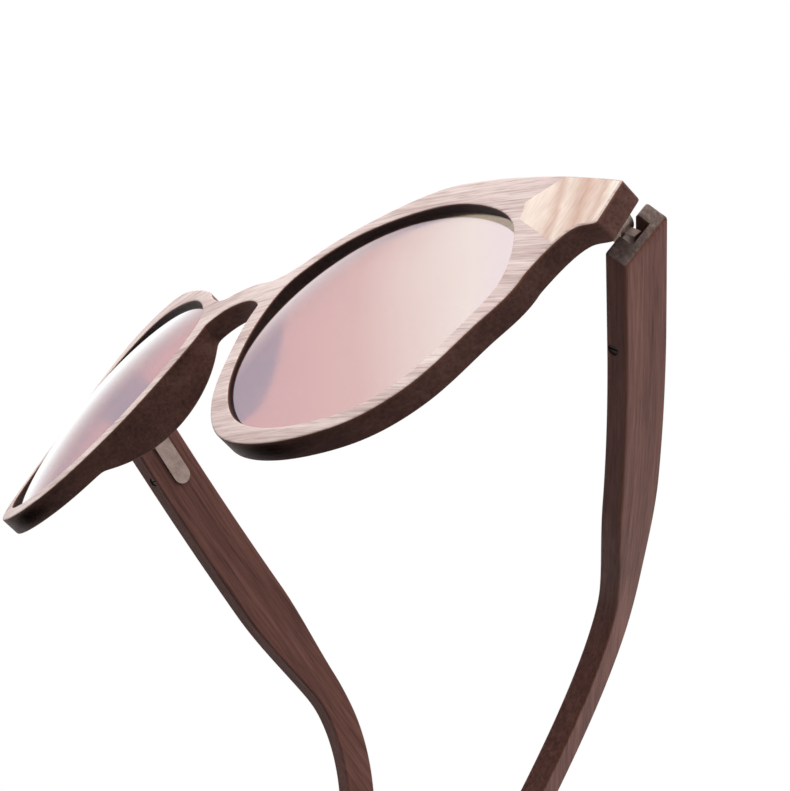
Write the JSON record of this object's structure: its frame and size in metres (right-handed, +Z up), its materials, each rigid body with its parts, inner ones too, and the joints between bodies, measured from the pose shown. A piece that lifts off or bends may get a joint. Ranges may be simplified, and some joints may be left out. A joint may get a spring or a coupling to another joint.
{
  "type": "wooden sunglasses",
  "caption": "Wooden sunglasses with a wrapped front, carved nose pads, pale corner splices, mirror lenses and temples that fold on sprung hinges.",
  "frame": {"origin": "Middle of the bounding box's base, where the rims and the open temple's tip touch the table.", "axes": "+Z up; the front faces -Y and the temples run back along +Y; +X is the side of the half-folded temple."},
  "size_m": [0.1428, 0.1184, 0.051],
  "materials": {
    "front_wood": "satin",
    "temple_wood": "satin",
    "pale_wood": "satin",
    "lens_mirror": "gloss",
    "hinge_metal": "satin",
    "screw_steel": "satin",
    "spring_steel": "satin",
    "bush_brass": "satin"
  },
  "bodies": {
    "front": {"front_frame": "front_wood", "left_corner_inlay": "pale_wood", "right_corner_inlay": "pale_wood", "left_lens": "lens_mirror", "right_lens": "lens_mirror", "left_hinge_leaf": "hinge_metal", "right_hinge_leaf": "hinge_metal", "left_leaf_screws": "screw_steel", "right_leaf_screws": "screw_steel", "left_pivot_screw": "screw_steel", "right_pivot_screw": "screw_steel"},
    "left_tongue": {"left_hinge_tongue": "hinge_metal", "left_rod_nut": "bush_brass"},
    "right_tongue": {"right_hinge_tongue": "hinge_metal", "right_rod_nut": "bush_brass"},
    "left_temple": {"left_temple": "temple_wood", "left_spring_housing": "hinge_metal", "left_spring_stop": "bush_brass", "left_coil_spring": "spring_steel", "left_housing_screw": "screw_steel"},
    "right_temple": {"right_temple": "temple_wood", "right_spring_housing": "hinge_metal", "right_spring_stop": "bush_brass", "right_coil_spring": "spring_steel", "right_housing_screw": "screw_steel"}
  },
  "joints": [
    {"name": "left_temple_fold", "type": "hinge", "parent": "front", "child": "left_tongue", "pos_m": [-0.0666, -0.04507, 0.04612], "axis": [0, -0.1219, -0.9925], "range_deg": [0, 86.5]},
    {"name": "right_temple_fold", "type": "hinge", "parent": "front", "child": "right_tongue", "pos_m": [0.0666, -0.04507, 0.04612], "axis": [0, 0.1219, 0.9925], "range_deg": [-36.5, 43.5]},
    {"name": "left_spring_slide", "type": "slide", "parent": "left_tongue", "child": "left_temple", "axis": [0, 0.9925, -0.1219], "range_m": [0, 0.002], "stiffness_N_per_m": 3000, "springref_m": -0.001, "deforming": ["left_coil_spring"]},
    {"name": "right_spring_slide", "type": "slide", "parent": "right_tongue", "child": "right_temple", "axis": [-0.5948, 0.7979, -0.098], "range_m": [-0.00115, 0.00085], "stiffness_N_per_m": 3000, "deforming": ["right_coil_spring"]}
  ]
}
